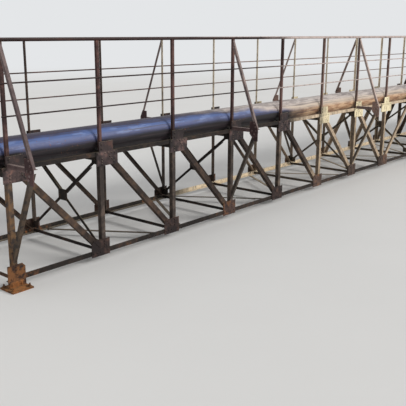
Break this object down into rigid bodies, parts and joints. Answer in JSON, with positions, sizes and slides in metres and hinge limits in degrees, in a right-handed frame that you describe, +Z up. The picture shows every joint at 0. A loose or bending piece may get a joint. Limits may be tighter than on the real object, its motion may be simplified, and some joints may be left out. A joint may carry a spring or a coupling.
{
  "type": "pipe-carrying truss footbridge",
  "caption": "Light steel deck-truss footbridge of riveted angles with railings, stayed by outriggers, that carries a large water pipe beside its walkway.",
  "frame": {"origin": "on the floor under the shoes, at midspan, halfway between the trusses", "axes": "+X along the bridge to the right of the front view, +Y from the pipe side to the back, +Z up"},
  "size_m": [15, 1.93, 2.1814],
  "materials": {
    "chord_steel": "weathered brown steel with rust",
    "web_steel": "weathered brown steel with rust",
    "gusset_steel": "weathered brown steel with orange rust",
    "railing_steel": "worn dark paint with rust",
    "outrigger_steel": "worn greyish-purple paint with rust",
    "shoe_steel": "rusty plate",
    "bracing_steel": "weathered brown steel with rust",
    "pipe_steel": "worn grey paint, tan rust below",
    "deck_steel": "worn tread plate"
  },
  "bodies": {
    "root": {"front_top_chord": "chord_steel", "front_bottom_chord": "chord_steel", "front_verticals": "web_steel", "front_diagonals": "web_steel", "front_top_gussets": "gusset_steel", "front_bottom_gussets": "gusset_steel", "front_posts": "railing_steel", "front_handrail": "railing_steel", "front_upper_rail": "railing_steel", "front_lower_rail": "railing_steel", "front_outriggers": "outrigger_steel", "front_railing_braces": "outrigger_steel", "front_outrigger_struts": "outrigger_steel", "front_tip_plates": "outrigger_steel", "front_base_plates": "shoe_steel", "front_shoe_cleats": "shoe_steel", "back_top_chord": "chord_steel", "back_bottom_chord": "chord_steel", "back_verticals": "web_steel", "back_diagonals": "web_steel", "back_top_gussets": "gusset_steel", "back_bottom_gussets": "gusset_steel", "back_posts": "railing_steel", "back_handrail": "railing_steel", "back_upper_rail": "railing_steel", "back_lower_rail": "railing_steel", "back_outriggers": "outrigger_steel", "back_railing_braces": "outrigger_steel", "back_outrigger_struts": "outrigger_steel", "back_tip_plates": "outrigger_steel", "back_base_plates": "shoe_steel", "back_shoe_cleats": "shoe_steel", "cross_beams": "bracing_steel", "bottom_struts": "bracing_steel", "bottom_laterals": "bracing_steel", "sway_corner_plates": "bracing_steel", "sway_arms": "bracing_steel", "sway_hub_plates": "bracing_steel", "water_pipe": "pipe_steel", "pipe_cleats": "bracing_steel", "walkway_pans": "deck_steel"}
  },
  "joints": []
}
